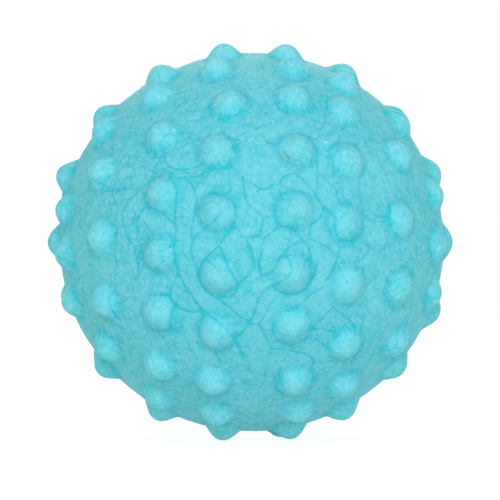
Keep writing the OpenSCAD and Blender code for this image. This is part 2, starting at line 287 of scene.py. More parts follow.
class InsertSettings(bpy.types.PropertyGroup):
    """Place and colours of the squeaker, its reed and the seam cement."""

    tilt: bpy.props.FloatProperty(
        name="Squeaker tilt", description="From the seam towards the right pole",
        default=math.radians(27.1), unit="ROTATION", subtype="ANGLE")
    turn: bpy.props.FloatProperty(
        name="Squeaker turn", description="Round the ball from the middle of its front",
        default=math.radians(-174), unit="ROTATION", subtype="ANGLE")
    white_colour: bpy.props.FloatVectorProperty(
        name="White plastic", description="Casing and reed block", subtype="COLOR", size=4, min=0, max=1,
        default=(0.80, 0.78, 0.73, 1))
    grey_colour: bpy.props.FloatVectorProperty(
        name="Grey plastic", description="Tone sleeve and inner cap", subtype="COLOR", size=4, min=0, max=1,
        default=(0.62, 0.65, 0.67, 1))
    reed_colour: bpy.props.FloatVectorProperty(
        name="Reed film", description="The springy strip", subtype="COLOR", size=4, min=0, max=1,
        default=(0.78, 0.55, 0.12, 1))
    cement_colour: bpy.props.FloatVectorProperty(
        name="Rubber cement", description="The bond in the seam", subtype="COLOR", size=4, min=0, max=1,
        default=(0.46, 0.38, 0.26, 1))


class StudioSettings(bpy.types.PropertyGroup):
    """Camera, lamps and floor."""

    camera_distance: bpy.props.FloatProperty(
        name="Camera distance", description="From the camera to the ball's centre",
        default=1184.4 * MM, unit="LENGTH", subtype="DISTANCE")
    camera_turn: bpy.props.FloatProperty(
        name="Camera turn", description="How far the camera stands round from the ball's front",
        default=math.radians(-1.24), unit="ROTATION", subtype="ANGLE")
    camera_drop: bpy.props.FloatProperty(
        name="Camera drop", description="How far the camera stands below the ball's centre",
        default=1.77 * MM, unit="LENGTH", subtype="DISTANCE")
    camera_side: bpy.props.FloatProperty(
        name="Camera side", description="How far the camera stands left of the ball's centre",
        default=0.13 * MM, unit="LENGTH", subtype="DISTANCE")
    lens: bpy.props.FloatProperty(
        name="Lens", description="Focal length in millimetres on a 36 mm sensor",
        default=383.8, unit="CAMERA")
    key_power: bpy.props.FloatProperty(
        name="Key lamp", description="Power of the soft lamp at the upper left", default=13.0, unit="POWER")
    fill_power: bpy.props.FloatProperty(
        name="Fill lamp", description="Power of the soft lamp at the right", default=5.9, unit="POWER")
    rim_power: bpy.props.FloatProperty(
        name="Rim lamp", description="Power of the soft lamp behind and above", default=4.5, unit="POWER")
    back_power: bpy.props.FloatProperty(
        name="Back lamp", description="Power of the soft lamp behind, for views of the back",
        default=7.0, unit="POWER")
    room_light: bpy.props.FloatProperty(
        name="Room light", description="Strength of the even light from all round", default=0.57, min=0)
    floor_radius: bpy.props.FloatProperty(
        name="Floor radius", description="Size of the round floor", default=3.0, unit="LENGTH",
        subtype="DISTANCE")


class NodeDesk:
    """Adds nodes to a tree and wires them: a socket handed in is linked, and any other value is set."""

    def __init__(self, tree):
        self.tree = tree

    def add(self, kind, inputs=None, **settings):
        """A node of that kind, with its settings made before its inputs are fed."""
        node = self.tree.nodes.new(kind)
        for name, value in settings.items():
            setattr(node, name, value)
        for key, value in (inputs or {}).items():
            self.feed(node.inputs[key], value)
        return node

    def feed(self, socket, value):
        if isinstance(value, bpy.types.NodeSocket):
            self.tree.links.new(value, socket)
        else:
            socket.default_value = value

    def math(self, operation, *values):
        """The result of one sum on numbers."""
        node = self.add("ShaderNodeMath", dict(enumerate(values)), operation=operation)
        return node.outputs[0]

    def vector(self, operation, *values):
        """The result of one sum on vectors: a number for a length, a distance or a dot product."""
        node = self.add("ShaderNodeVectorMath", dict(enumerate(values)), operation=operation)
        scalar = operation in ("LENGTH", "DISTANCE", "DOT_PRODUCT")
        return node.outputs["Value" if scalar else "Vector"]

    def scaled(self, vector, factor):
        node = self.add("ShaderNodeVectorMath", {"Vector": vector, "Scale": factor}, operation="SCALE")
        return node.outputs["Vector"]

    def part(self, vector, axis):
        """The X, Y or Z of a vector."""
        return self.add("ShaderNodeSeparateXYZ", {0: vector}).outputs[axis]

    def total(self, amounts, shares, start=0.0):
        """Start, plus each amount times the share of the same name."""
        total = start
        for name, share in shares.items():
            total = self.math("MULTIPLY_ADD", amounts[name], share, total)
        return total

    def fade(self, value, start, end, first=0.0, last=1.0):
        """A smooth step from first to last while value goes from start to end."""
        inputs = {"Value": value, "From Min": start, "From Max": end, "To Min": first, "To Max": last}
        return self.add("ShaderNodeMapRange", inputs, interpolation_type="SMOOTHSTEP").outputs["Result"]

    def noise(self, place, size, detail=2.0, roughness=0.5, output="Fac"):
        """Noise whose waves are about that size, in the units of place."""
        inputs = {"Vector": place, "Scale": 1 / size, "Detail": detail, "Roughness": roughness}
        return self.add("ShaderNodeTexNoise", inputs).outputs[output]

    def wave(self, place, size, detail=2.0, roughness=0.5):
        """The same noise, above and below zero."""
        return self.math("SUBTRACT", self.noise(place, size, detail, roughness), 0.5)

    def patches(self, place, size, start, end, first=0.0, last=1.0):
        """Patches of about that size: from first to last while the noise goes from start to end."""
        return self.fade(self.noise(place, size), start, end, first, last)

    def cell_edge(self, place, size):
        """Distance to the nearest edge of a cell pattern, in the units of place."""
        inputs = {"Vector": place, "Scale": 1 / size, "Randomness": 1.0}
        node = self.add("ShaderNodeTexVoronoi", inputs, feature="DISTANCE_TO_EDGE")
        return self.math("MULTIPLY", node.outputs["Distance"], size)

    def warped(self, place, size, reach, detail=0.0):
        """Place, shifted about by noise of that size."""
        sway = self.noise(place, size, detail, 0.5, "Color")
        centred = self.vector("SUBTRACT", sway, (0.5, 0.5, 0.5))
        return self.vector("ADD", place, self.scaled(centred, reach))


# The rubber's pattern, the same in the skin's shape and in its colour. Places and sizes are in millimetres.
# Here and below the numbers of a fade are where it starts and ends and its first and last value. Those of
# patches are their size and then the same four, and those of a wave are its size, detail and roughness.

WARP_SIZE = 6.0
WARP_REACH = 7.0
FINE_SIZE = 1.4
FINE_WARP_SIZE = 1.8
FINE_WARP_REACH = 1.1
FINE_WARP_DETAIL = 1.0
FINE_SHIFT = (31.0, 17.0, 5.0)
CRINKLE_SIZE = 3.4
FINE_CRINKLE_SIZE = 1.7
CRINKLE_FADE = (0.0, 0.075, 1.0, 0.0)
CRINKLE_DETAIL = 1.0
CRINKLE_ROUGHNESS = 0.4
CRINKLE_SWAY_SIZE = 0.6
CRINKLE_SWAY_REACH = 0.35
CREASE_PLACE = 4.35
CREASE_FADE = (0.0, 1.6, 1.0, 0.0)
CREASE_PATCHES = (4.5, 0.36, 0.62, 0.45, 1.0)


def wide_pebbles(desk, place, size):
    """Distance to the edge of a wide pebble."""
    return desk.cell_edge(desk.warped(place, WARP_SIZE, WARP_REACH), size)


def fine_pebbles(desk, place):
    """Distance to the edge of a fine pebble."""
    beside = desk.vector("ADD", place, FINE_SHIFT)
    return desk.cell_edge(desk.warped(beside, FINE_WARP_SIZE, FINE_WARP_REACH, FINE_WARP_DETAIL), FINE_SIZE)


def crinkles(desk, place, size):
    """Winding, close-set crinkle lines, 1 in a line and 0 beside it."""
    swayed = desk.warped(place, size * CRINKLE_SWAY_SIZE, size * CRINKLE_SWAY_REACH)
    wave = desk.wave(swayed, size, CRINKLE_DETAIL, CRINKLE_ROUGHNESS)
    return desk.fade(desk.math("ABSOLUTE", wave), *CRINKLE_FADE)


def nub_crease(desk, place, aside):
    """Uneven crease round a nub's foot, 1 in its middle. Aside is the distance from the nub's own axis."""
    from_crease = desk.math("ABSOLUTE", desk.math("SUBTRACT", aside, CREASE_PLACE))
    return desk.math("MULTIPLY", desk.fade(from_crease, *CREASE_FADE), desk.patches(place, *CREASE_PATCHES))


def squeaker_axis(insert):
    """Outward direction of the squeaker, from its ring and its place on the ring."""
    level = math.cos(insert.tilt)
    return Vector((
        math.sin(insert.tilt), -level * math.cos(insert.turn), level * math.sin(insert.turn)))


# Camera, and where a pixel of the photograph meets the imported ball


class PhotoView:
    """The photograph's camera: where it stands, and the ray through a pixel."""

    FRAME_PIXELS = 500
    SENSOR = 36.0

    def __init__(self, studio):
        turn = studio.camera_turn
        self.ahead = Vector((-math.sin(turn), math.cos(turn), 0))
        self.right = Vector((math.cos(turn), math.sin(turn), 0))
        self.up = Vector((0, 0, 1))
        self.place = (
            -self.ahead * studio.camera_distance
            - self.right * studio.camera_side
            - self.up * studio.camera_drop)
        self.focal_pixels = studio.lens / self.SENSOR * self.FRAME_PIXELS

    def ray(self, pixel):
        middle = self.FRAME_PIXELS / 2
        across, down = pixel[0] - middle, pixel[1] - middle
        return (self.ahead * self.focal_pixels + self.right * across - self.up * down).normalized()

    def pixel(self, place):
        """Where a place shows in the photograph."""
        offset = place - self.place
        scale = self.focal_pixels / offset.dot(self.ahead)
        middle = self.FRAME_PIXELS / 2
        return Vector((middle + offset.dot(self.right) * scale, middle - offset.dot(self.up) * scale))

    def matrix(self):
        turned = Matrix((self.right, self.up, -self.ahead)).transposed()
        return Matrix.Translation(self.place) @ turned.to_4x4()


def packed_tree():
    """The two packed half shells as one ray-casting tree."""
    points, faces = [], []
    for node in HALF_NODES.values():
        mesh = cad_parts[node].data
        start = len(points)
        points.extend(v.co.copy() for v in mesh.vertices)
        faces.extend([start + i for i in p.vertices] for p in mesh.polygons)
    return BVHTree.FromPolygons(points, faces)


def smooth_route(pixels, step):
    """The pixels joined by a smooth curve, with a point every step or so."""
    ends = [pixels[0], *pixels, pixels[-1]]
    route = []
    for a, b, c, d in zip(ends, ends[1:], ends[2:], ends[3:]):
        a, b, c, d = (Vector(p) for p in (a, b, c, d))
        count = max(1, round((c - b).length / step))
        for i in range(count):
            t = i / count
            route.append(
                ((2 * b) + (c - a) * t + (2 * a - 5 * b + 4 * c - d) * t ** 2
                 + (3 * b - a - 3 * c + d) * t ** 3) / 2)
    route.append(Vector(pixels[-1]))
    return route


def onto_skin(view, tree, pixels, radius):
    """Directions in which the pixels' rays meet the ball, as points on its skin radius."""
    places = []
    for pixel in pixels:
        hit = tree.ray_cast(view.place, view.ray(pixel))[0]
        if hit is not None:
            places.append(hit.normalized() * radius)
    return places


# Mesh of one half, before its nubs

OUTER_RINGS = 208
INNER_RINGS = 52


class RingedShell:
    """Gathers rings of points and the faces that join them."""

    def __init__(self):
        self.points = []
        self.faces = []

    def ring(self, x, radius, count):
        start = len(self.points)
        for i in range(count):
            turn = WHOLE_TURN * i / count
            self.points.append((x, radius * math.cos(turn), radius * math.sin(turn)))
        return list(range(start, start + count))

    def dome(self, radius, side, ring_count, last_tilt=QUARTER_TURN):
        """A dome round the X axis, whose ring n has 4n points. Returns its last ring."""
        self.points.append((side * radius, 0.0, 0.0))
        inner = [len(self.points) - 1]
        for n in range(1, ring_count + 1):
            tilt = last_tilt * n / ring_count
            x = 0.0 if n == ring_count and last_tilt == QUARTER_TURN else side * radius * math.cos(tilt)
            outer = self.ring(x, radius * math.sin(tilt), 4 * n)
            for quarter in range(4):
                near = [inner[(quarter * (n - 1) + k) % len(inner)] for k in range(n)]
                far = [outer[(quarter * n + k) % len(outer)] for k in range(n + 1)]
                for k in range(n):
                    self.faces.append((near[k], far[k], far[k + 1]))
                    if k:
                        self.faces.append((near[k - 1], far[k], near[k]))
            inner = outer
        return inner

    def thin_out(self, fine, coarse):
        """Joins a ring to one with a whole fraction of its points."""
        step = len(fine) // len(coarse)
        for j, here in enumerate(coarse):
            beyond = coarse[(j + 1) % len(coarse)]
            for t in range(step):
                first = fine[j * step + t]
                second = fine[(j * step + t + 1) % len(fine)]
                self.faces.append((first, second, here))
            self.faces.append((here, fine[(j + 1) * step % len(fine)], beyond))

    def join(self, first, second):
        for j in range(len(first)):
            k = (j + 1) % len(first)
            self.faces.append((first[j], first[k], second[k], second[j]))

    def mesh(self, name):
        mesh = bpy.data.meshes.new(name)
        mesh.from_pydata(self.points, [], self.faces)
        work = bmesh.new()
        work.from_mesh(mesh)
        bmesh.ops.recalc_face_normals(work, faces=work.faces)
        work.to_mesh(mesh)
        work.free()
        return mesh


TONGUE_RADIUS = 40.9 * MM
TONGUE_REACH = 3.0 * MM
TONGUE_BEVEL = 0.4 * MM
REBATE_RADIUS = 41.15 * MM
REBATE_REACH = 3.25 * MM


def plain_half(name, look, side):
    """One closed half without nubs: outer skin, lap edge and hollow. Side is -1 for left and 1 for right."""
    shell = RingedShell()
    seam = shell.dome(look.radius, side, OUTER_RINGS)
    count = 4 * INNER_RINGS
    hollow = look.cavity_radius
    if side < 0:
        mouth = math.sqrt(hollow ** 2 - TONGUE_REACH ** 2)
        lap = [
            (0.0, TONGUE_RADIUS),
            (TONGUE_REACH - TONGUE_BEVEL, TONGUE_RADIUS),
            (TONGUE_REACH, TONGUE_RADIUS - TONGUE_BEVEL),
            (TONGUE_REACH, mouth),
        ]
        last_tilt = QUARTER_TURN
    else:
        lap = [(0.0, REBATE_RADIUS), (REBATE_REACH, REBATE_RADIUS)]
        last_tilt = math.acos(REBATE_REACH / hollow)
    rings = [shell.ring(x, radius, count) for x, radius in lap]
    rings.append(shell.dome(hollow, side, INNER_RINGS, last_tilt))
    shell.thin_out(seam, rings[0])
    for first, second in zip(rings, rings[1:]):
        shell.join(first, second)
    half = bpy.data.objects.new(name, shell.mesh(name))
    bpy.context.scene.collection.objects.link(half)
    return half


COLLAR_RADIUS = 7.0 * MM
COLLAR_START = 37.8 * MM
COLLAR_END = 41.0 * MM
RECESS_RADIUS = 6.55 * MM
RECESS_FLOOR = 40.6 * MM
BORE_RADIUS = 4.85 * MM
BORE_START = 36.0 * MM
CUT_END = 46.0 * MM
ROUND_SIDES = 128


def rod(name, axis, radius, start, end):
    """A many-sided rod along the axis, between two distances from the ball's centre."""
    turned = Vector((0, 0, 1)).rotation_difference(axis).to_matrix().to_4x4()
    placed = turned @ Matrix.Translation((0, 0, (start + end) / 2))
    work = bmesh.new()
    bmesh.ops.create_cone(
        work, cap_ends=True, segments=ROUND_SIDES, radius1=radius, radius2=radius, depth=end - start,
        matrix=placed)
    mesh = bpy.data.meshes.new(name)
    work.to_mesh(mesh)
    work.free()
    tool = bpy.data.objects.new(name, mesh)
    bpy.context.scene.collection.objects.link(tool)
    return tool


def settled(thing, name):
    """The evaluated shape of an object as a new plain object. The old one and its modifiers go."""
    bpy.context.view_layer.update()
    evaluated = thing.evaluated_get(bpy.context.evaluated_depsgraph_get())
    mesh = bpy.data.meshes.new_from_object(evaluated)
    bpy.data.objects.remove(thing)
    mesh.name = name
    plain = bpy.data.objects.new(name, mesh)
    bpy.context.scene.collection.objects.link(plain)
    return plain


def with_squeaker_seat(half, axis):
    """The right half with the collar, recess and bore that the squeaker sits in."""
    tools = [
        ("UNION", rod("collar tool", axis, COLLAR_RADIUS, COLLAR_START, COLLAR_END)),
        ("DIFFERENCE", rod("recess tool", axis, RECESS_RADIUS, RECESS_FLOOR, CUT_END)),
        ("DIFFERENCE", rod("bore tool", axis, BORE_RADIUS, BORE_START, CUT_END)),
    ]
    for operation, tool in tools:
        cut = half.modifiers.new(tool.name, "BOOLEAN")
        cut.operation = operation
        cut.solver = "MANIFOLD"
        cut.object = tool
    seated = settled(half, half.name)
    for _, tool in tools:
        bpy.data.objects.remove(tool)
    return seated


# What the skin tree reads: nub tips, fold lines and marks


def point_object(name, places, values=None, value_name="force", edges=()):
    """A helper mesh of points, with one number kept at each."""
    mesh = bpy.data.meshes.new(name)
    mesh.from_pydata([tuple(p) for p in places], [tuple(e) for e in edges], [])
    if values is not None:
        layer = mesh.attributes.new(value_name, "FLOAT", "POINT")
        layer.data.foreach_set("value", np.asarray(values, np.float32))
    helper = bpy.data.objects.new(name, mesh)
    bpy.context.scene.collection.objects.link(helper)
    return helper


TIP_SLACK = 0.02 * MM
TIP_ROUNDING = 5
TALL_NUB_EXTRA = 0.8 * MM
DRIFT_REACH = 3.0


def drifted_tip(view, tip):
    """The tip, moved at its own height to where the photograph has it."""
    spot = view.pixel(tip)
    if tip.dot(view.place - tip) > 0:
        for place, drift in NUB_DRIFTS.items():
            if (spot - Vector(place)).length < DRIFT_REACH:
                ray = view.ray(spot + Vector(drift))
                nearest = -view.place.dot(ray)
                depth = nearest ** 2 - view.place.length_squared + tip.length_squared
                return view.place + ray * (nearest - math.sqrt(depth))
    return tip


def nub_tips(view):
    """Tips of the nubs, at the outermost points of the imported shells. One nub is taller."""
    tips = set()
    for node in HALF_NODES.values():
        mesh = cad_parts[node].data
        places = np.empty(len(mesh.vertices) * 3, np.float32)
        mesh.vertices.foreach_get("co", places)
        places = places.reshape(-1, 3).astype(float)
        reach = np.linalg.norm(places, axis=1)
        for place in places[reach > reach.max() - TIP_SLACK]:
            tips.add(tuple(round(float(value), TIP_ROUNDING) for value in place))
    tips = [drifted_tip(view, Vector(tip)) for tip in sorted(tips)]
    tall = min(tips, key=lambda tip: (view.pixel(tip) - Vector(TALL_NUB_SPOT)).length)
    return [tip * (1 + TALL_NUB_EXTRA / tip.length) if tip == tall else tip for tip in tips]


SECTOR_EDGE = math.radians(46)
HIDDEN_FROM = -2 * MM
CAP_EDGE = 0.8
FIRST_CAP = 4
COPIES = FIRST_CAP + 2
SQUEAKER_CLEAR = 8.5 * MM
ROUTE_STEP = 1.0


def turned_place(place, copy, radius):
    """A front place turned round X, or onto a pole's cap, for one of its copies. None outside that copy."""
    if copy == 0:
        return place
    if copy < FIRST_CAP:
        x = -place.x if copy % 2 else place.x
        turned = Matrix.Rotation(copy * QUARTER_TURN, 3, "X") @ Vector((x, place.y, place.z))
        inside = abs(math.atan2(place.z, -place.y)) < SECTOR_EDGE and abs(turned.x) < CAP_EDGE * radius
    else:
        side = 1 if copy == FIRST_CAP else -1
        turned = Vector((-side * place.y, side * place.x, place.z))
        inside = abs(turned.x) > CAP_EDGE * radius
    return turned if inside and turned.y > HIDDEN_FROM else None


def fold_lines(view, tree, look, axis):
    """Fold lines on the skin radius: those of the photograph, and turned copies where it doesn't show."""
    places, forces, edges = [], [], []
    for force, pixels in FOLDS.values():
        front = onto_skin(view, tree, smooth_route(pixels, ROUTE_STEP), look.radius)
        for copy in range(COPIES):
            last = None
            for place in front:
                turned = turned_place(place, copy, look.radius)
                if turned is None or (turned.dot(axis) > 0 and turned.cross(axis).length < SQUEAKER_CLEAR):
                    last = None
                    continue
                places.append(turned)
                forces.append(force)
                if last is not None:
                    edges.append((last, len(places) - 1))
                last = len(places) - 1
    return point_object("fold lines", places, forces, "force", edges)


HIDDEN_MARKS = 60
HIDDEN_GLINT_SHARE = 0.25
HIDDEN_MARKS_FROM = -0.3
SQUEAKER_CLEAR_ANGLE = 0.25
DARK_TONE = 0.0
RUST_TONE = 0.5
GLINT_TONE = 1.0


def specks_and_glints(view, tree, look, axis):
    """Pinholes, rust spots and painted glints: those of the photograph, and some more pinholes and painted
    glints on the sides that it doesn't show.
    """
    places, tones = [], []
    for pixels, tone in ((PINHOLES, DARK_TONE), (RUST_SPOTS, RUST_TONE), (PAINTED_GLINTS, GLINT_TONE)):
        shown = onto_skin(view, tree, pixels, look.radius)
        places += shown
        tones += [tone] * len(shown)
    wanted = len(places) + HIDDEN_MARKS
    draw = random.Random(look.seed)
    while len(places) < wanted:
        place = Vector((draw.gauss(0, 1), draw.gauss(0, 1), draw.gauss(0, 1))).normalized()
        tone = GLINT_TONE if draw.random() < HIDDEN_GLINT_SHARE else DARK_TONE
        if place.y > HIDDEN_MARKS_FROM and place.angle(axis) > SQUEAKER_CLEAR_ANGLE:
            places.append(place * look.radius)
            tones.append(tone)
    return point_object("rubber marks", places, tones, "tone")


# The skin tree: nubs, folds and pebbles raised from the plain half

SKIN_INPUTS = (
    ("Geometry", "NodeSocketGeometry"),
    ("Nub Tips", "NodeSocketObject"),
    ("Fold Lines", "NodeSocketObject"),
    ("Rubber Marks", "NodeSocketObject"),
    ("Skin Radius", "NodeSocketFloat"),
    ("Nub Width", "NodeSocketFloat"),
    ("Nub Unevenness", "NodeSocketFloat"),
    ("Fold Depth", "NodeSocketFloat"),
    ("Fold Width", "NodeSocketFloat"),
    ("Pebble Depth", "NodeSocketFloat"),
    ("Squeaker Axis", "NodeSocketVector"),
    ("Seed", "NodeSocketInt"),
    ("Material", "NodeSocketMaterial"),
)
SHARP_ANGLE = math.radians(40)
OUTER_SLACK = 0.02 * MM
NUB_UNEVENNESS = 0.1 * MM
NUB_ROUNDNESS = 2.2
NUB_FLARE = 2.0
SWELL_WAVE = (7.0, 3.0)
SWELL_DEPTH = 0.45 * MM
SEAM_DRAWN_IN = 0.3 * MM
SIDES_FULLER = 0.6 * MM
RIGHT_FULLER = 0.25 * MM
LIP_WIDTH = 2.6
LIP_HEIGHT = 0.35
WIDE_DIP_FADE = (0.0, 0.9, -0.8, 0.0)
PEBBLE_PATCHES = (11.0, 0.38, 0.6, 0.35, 1.0)
NUB_SMOOTHING = 0.6
CREASE_DEPTH = 0.04 * MM
SEAM_GROOVE_FADE = (0.0, 0.4 * MM, -1.0, 0.0)
SEAM_GROOVE_DEPTH = 0.03 * MM
SQUEAKER_GAP = 0.1 * MM
SQUEAKER_FADE = 2.5 * MM
FAR_SIDE_FADE = (0.0, MM, 1.0, 0.0)


def nearest_index(desk, points, place):
    """Which of a helper's points is nearest to each place."""
    inputs = {"Geometry": points, "Sample Position": place}
    return desk.add("GeometryNodeSampleNearest", inputs, domain="POINT").outputs["Index"]


def nearest_value(desk, points, value, kind, index):
    """What a helper has at that one of its points."""
    inputs = {"Geometry": points, "Value": value, "Index": index}
    return desk.add("GeometryNodeSampleIndex", inputs, data_type=kind, domain="POINT").outputs["Value"]


def point_number(desk, name):
    """The number that a helper keeps at each of its points."""
    return desk.add("GeometryNodeInputNamedAttribute", {"Name": name}, data_type="FLOAT").outputs["Attribute"]


def kept(desk, geometry, name, kind, value):
    """Stores a value at each point, for the material to read."""
    inputs = {"Geometry": geometry, "Name": name, "Value": value}
    node = desk.add("GeometryNodeStoreNamedAttribute", inputs, data_type=kind, domain="POINT")
    return node.outputs["Geometry"]


def skin_level(desk, given, place, millimetres):
    """Distance from the ball's centre to the skin between nubs: drawn in at the seam, full at the right."""
    swell = desk.math("MULTIPLY", desk.wave(millimetres, *SWELL_WAVE), SWELL_DEPTH)
    along = desk.math("DIVIDE", desk.part(place, "X"), given["Skin Radius"])
    fuller = desk.math("MULTIPLY_ADD", along, SIDES_FULLER, RIGHT_FULLER)
    fuller = desk.math("MULTIPLY_ADD", fuller, along, -SEAM_DRAWN_IN)
    return desk.math("ADD", given["Skin Radius"], desk.math("ADD", swell, fuller))


def nub_height(desk, given, points, place, level):
    """Distance from the ball's centre to the nubbed skin, each point's share of its nub's rise, and how far
    it is from the nub's own axis."""
    nearest = nearest_index(desk, points, place)
    tip = nearest_value(desk, points, place, "FLOAT_VECTOR", nearest)
    uneven = desk.add(
        "FunctionNodeRandomValue", {2: -1.0, 3: 1.0, "ID": nearest, "Seed": given["Seed"]}, data_type="FLOAT")
    top = desk.math("MULTIPLY_ADD", uneven.outputs[1], given["Nub Unevenness"], desk.vector("LENGTH", tip))
    aside = desk.vector("LENGTH", desk.vector("CROSS_PRODUCT", place, desk.vector("NORMALIZE", tip)))
    out = desk.math("POWER", desk.math("DIVIDE", aside, given["Nub Width"]), NUB_ROUNDNESS)
    share = desk.math("POWER", desk.math("MAXIMUM", desk.math("SUBTRACT", 1.0, out), 0.0), NUB_FLARE)
    height = desk.math("MULTIPLY_ADD", desk.math("SUBTRACT", top, level), share, level)
    return height, share, aside


def fold_relief(desk, given, points, place):
    """Height of the fold lines with their raised lips, and the way, distance and force of the nearest one."""
    nearest = desk.add(
        "GeometryNodeProximity", {0: points, "Sample Position": place}, target_element="EDGES").outputs
    gap = nearest["Distance"]
    force = nearest_value(
        desk, points, point_number(desk, "force"), "FLOAT", nearest_index(desk, points, place))
    groove = desk.fade(gap, 0.0, given["Fold Width"], 1.0, 0.0)
    lip_reach = desk.math("MULTIPLY", given["Fold Width"], LIP_WIDTH)
    lip = desk.math("MULTIPLY", desk.fade(gap, 0.0, lip_reach, 1.0, 0.0), LIP_HEIGHT)
    depth = desk.math("MULTIPLY", given["Fold Depth"], force)
    relief = desk.math("MULTIPLY", desk.math("SUBTRACT", lip, groove), depth)
    return relief, desk.vector("SUBTRACT", nearest["Position"], place), gap, force


def pebble_relief(desk, given, pebble_size, millimetres, share, aside):
    """Height of the dips between wide pebbles, fainter on the nubs, and of the creases round the nubs."""
    dips = desk.fade(wide_pebbles(desk, millimetres, pebble_size), *WIDE_DIP_FADE)
    dips = desk.math("MULTIPLY", dips, desk.patches(millimetres, *PEBBLE_PATCHES))
    smoother_nub = desk.math("SUBTRACT", 1.0, desk.math("MULTIPLY", share, NUB_SMOOTHING))
    pebbles = desk.math("MULTIPLY", desk.math("MULTIPLY", dips, given["Pebble Depth"]), smoother_nub)
    return desk.math("MULTIPLY_ADD", nub_crease(desk, millimetres, aside), -CREASE_DEPTH, pebbles)


def seam_relief(desk, place):
    """Height of the groove along the seam."""
    across = desk.math("ABSOLUTE", desk.part(place, "X"))
    return desk.math("MULTIPLY", desk.fade(across, *SEAM_GROOVE_FADE), SEAM_GROOVE_DEPTH)


def nearest_mark(desk, points, place):
    """The way to the nearest pinhole, rust spot or painted glint, and its tone."""
    nearest = nearest_index(desk, points, place)
    mark = nearest_value(desk, points, place, "FLOAT_VECTOR", nearest)
    tone = nearest_value(desk, points, point_number(desk, "tone"), "FLOAT", nearest)
    return desk.vector("SUBTRACT", mark, place), tone


def clear_of_squeaker(desk, given, place):
    """0 at the squeaker's recess, where the skin stays plain, and 1 away from it."""
    ahead = desk.vector("DOT_PRODUCT", place, given["Squeaker Axis"])
    aside = desk.vector("LENGTH", desk.vector("CROSS_PRODUCT", place, given["Squeaker Axis"]))
    beyond = desk.fade(aside, RECESS_RADIUS + SQUEAKER_GAP, RECESS_RADIUS + SQUEAKER_FADE)
    return desk.math("MAXIMUM", desk.fade(ahead, *FAR_SIDE_FADE), beyond)


def smooth_shaded(desk, shape):
    """The shape shaded smooth, apart from its sharp edges."""
    angle = desk.add("GeometryNodeInputMeshEdgeAngle").outputs["Unsigned Angle"]
    blunt = desk.add("FunctionNodeCompare", {0: angle, 1: SHARP_ANGLE}, operation="LESS_THAN").outputs[0]
    for domain, smooth in (("FACE", True), ("EDGE", blunt)):
        inputs = {"Geometry": shape, "Shade Smooth": smooth}
        shape = desk.add("GeometryNodeSetShadeSmooth", inputs, domain=domain).outputs["Geometry"]
    return shape


def skin_tree(look):
    """Geometry Nodes tree that turns a plain half into the moulded, nubbed skin."""
    tree = bpy.data.node_groups.new("moulded skin", "GeometryNodeTree")
    for name, kind in SKIN_INPUTS:
        tree.interface.new_socket(name, in_out="INPUT", socket_type=kind)
    tree.interface.new_socket("Geometry", in_out="OUTPUT", socket_type="NodeSocketGeometry")
    desk = NodeDesk(tree)
    given = desk.add("NodeGroupInput").outputs
    tips, folds, marks = (
        desk.add("GeometryNodeObjectInfo", {"Object": given[name]}).outputs["Geometry"]
        for name in ("Nub Tips", "Fold Lines", "Rubber Marks"))

    place = desk.add("GeometryNodeInputPosition").outputs[0]
    millimetres = desk.scaled(place, 1 / MM)
    level = skin_level(desk, given, place, millimetres)
    height, share, aside = nub_height(desk, given, tips, place, level)
    aside = desk.math("DIVIDE", aside, MM)
    fold, to_fold, fold_gap, force = fold_relief(desk, given, folds, place)
    to_mark, tone = nearest_mark(desk, marks, place)
    pebbles = pebble_relief(desk, given, look.pebble_size / MM, millimetres, share, aside)
    relief = desk.math("ADD", desk.math("ADD", fold, pebbles), seam_relief(desk, place))
    rise = desk.math("ADD", desk.math("SUBTRACT", height, given["Skin Radius"]), relief)
    rise = desk.math("MULTIPLY", rise, clear_of_squeaker(desk, given, place))
    moved = desk.scaled(desk.vector("NORMALIZE", place), rise)
    hollow_reach = desk.math("SUBTRACT", given["Skin Radius"], OUTER_SLACK)
    outside = desk.add(
        "FunctionNodeCompare", {0: desk.vector("LENGTH", place), 1: hollow_reach}, operation="GREATER_THAN")

    shape = given["Geometry"]
    for name, kind, value in (
            ("skin_place", "FLOAT_VECTOR", millimetres),
            ("nub_share", "FLOAT", share),
            ("nub_aside", "FLOAT", aside),
            ("to_fold", "FLOAT_VECTOR", desk.scaled(to_fold, 1 / MM)),
            ("fold_gap", "FLOAT", desk.math("DIVIDE", fold_gap, MM)),
            ("fold_force", "FLOAT", force),
            ("to_mark", "FLOAT_VECTOR", desk.scaled(to_mark, 1 / MM)),
            ("mark_tone", "FLOAT", tone)):
        shape = kept(desk, shape, name, kind, value)
    shape = desk.add("GeometryNodeSetPosition", {
        "Geometry": shape, "Selection": outside.outputs[0], "Offset": moved}).outputs["Geometry"]
    shape = smooth_shaded(desk, shape)
    shape = desk.add("GeometryNodeRealizeInstances", {"Geometry": shape}).outputs["Geometry"]
    shape = desk.add("GeometryNodeSetMaterial", {
        "Geometry": shape, "Material": given["Material"]}).outputs["Geometry"]
    desk.add("NodeGroupOutput", {"Geometry": shape})
    return tree


def moulded(half, tree, values):
    """The half with the skin tree applied, as a plain mesh."""
    skin = half.modifiers.new("moulded skin", "NODES")
    skin.node_group = tree
    for socket in tree.interface.items_tree:
        if socket.in_out == "INPUT" and socket.name in values:
            skin[socket.identifier] = values[socket.name]
    return settled(half, half.name)


# Finishes


def new_material(name):
    material = bpy.data.materials.new(name)
    material.use_nodes = True
    material.node_tree.nodes.clear()
    return material, NodeDesk(material.node_tree)


def kept_value(desk, name, output="Fac"):
    """A value that the skin tree stored on the mesh."""
    return desk.add("ShaderNodeAttribute", attribute_type="GEOMETRY", attribute_name=name).outputs[output]


def mixed(desk, factor, first, second):
    """The first colour at factor 0, the second at 1."""
    return desk.add("ShaderNodeMix", {"Factor": factor, 6: first, 7: second}, data_type="RGBA").outputs[2]


# The rubber's marks in colour and bump, in millimetres

